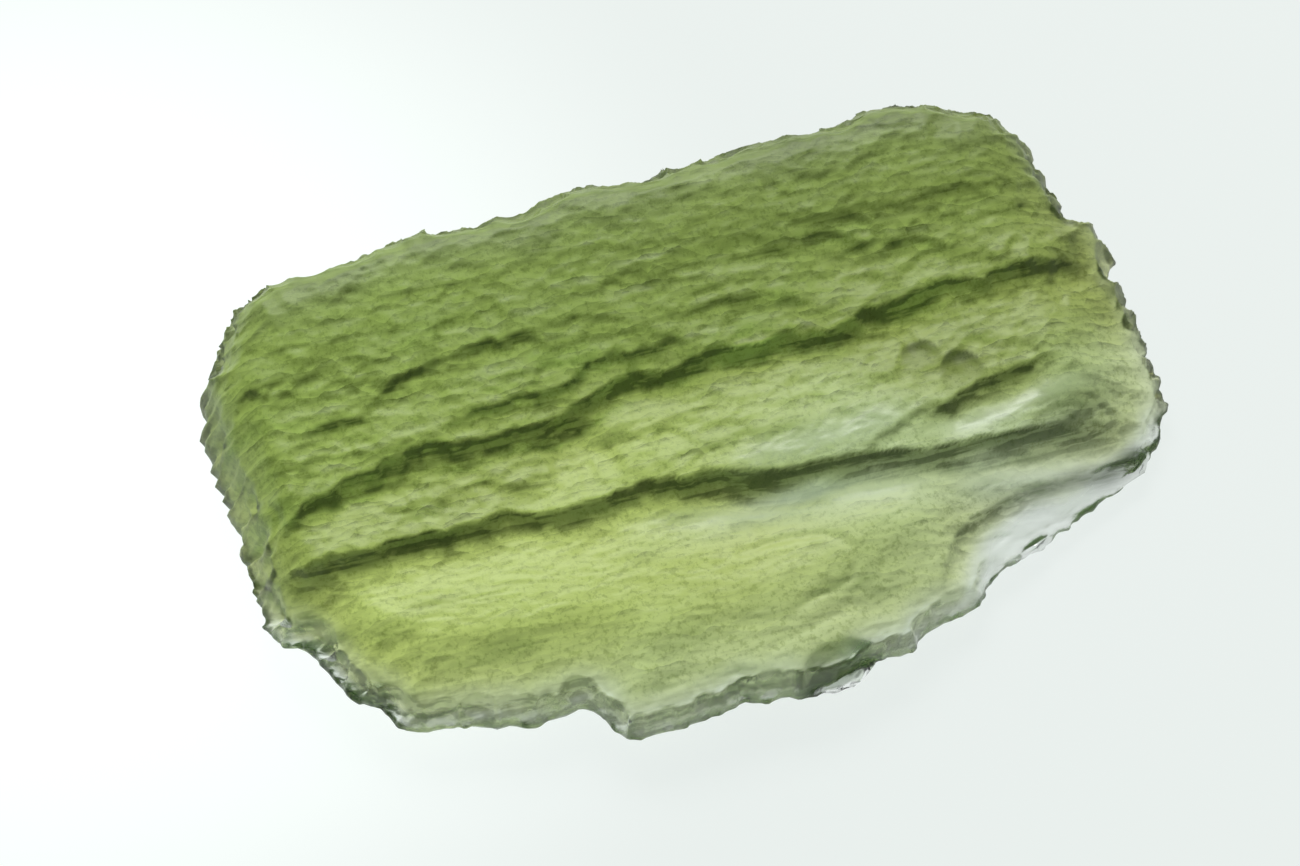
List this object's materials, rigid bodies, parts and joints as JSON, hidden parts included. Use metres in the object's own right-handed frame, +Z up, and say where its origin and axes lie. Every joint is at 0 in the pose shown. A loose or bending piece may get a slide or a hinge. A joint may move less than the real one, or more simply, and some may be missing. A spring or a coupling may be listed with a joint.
{
  "type": "moldavite",
  "caption": "Flat natural moldavite: see-through green impact glass, etched into ledges and scoops, lying on its flatter side.",
  "frame": {"origin": "middle of the stone's box, on the surface it rests on", "axes": "+X along the stone's length and its flow ledges, towards the thin end; +Y towards the thick edge; +Z up, out of the etched upper side"},
  "size_m": [0.0384, 0.0244, 0.0059],
  "materials": {
    "moldavite_glass": "natural etched glass, see-through green, frosted sheen"
  },
  "bodies": {
    "root": {"moldavite": "moldavite_glass"}
  },
  "joints": []
}
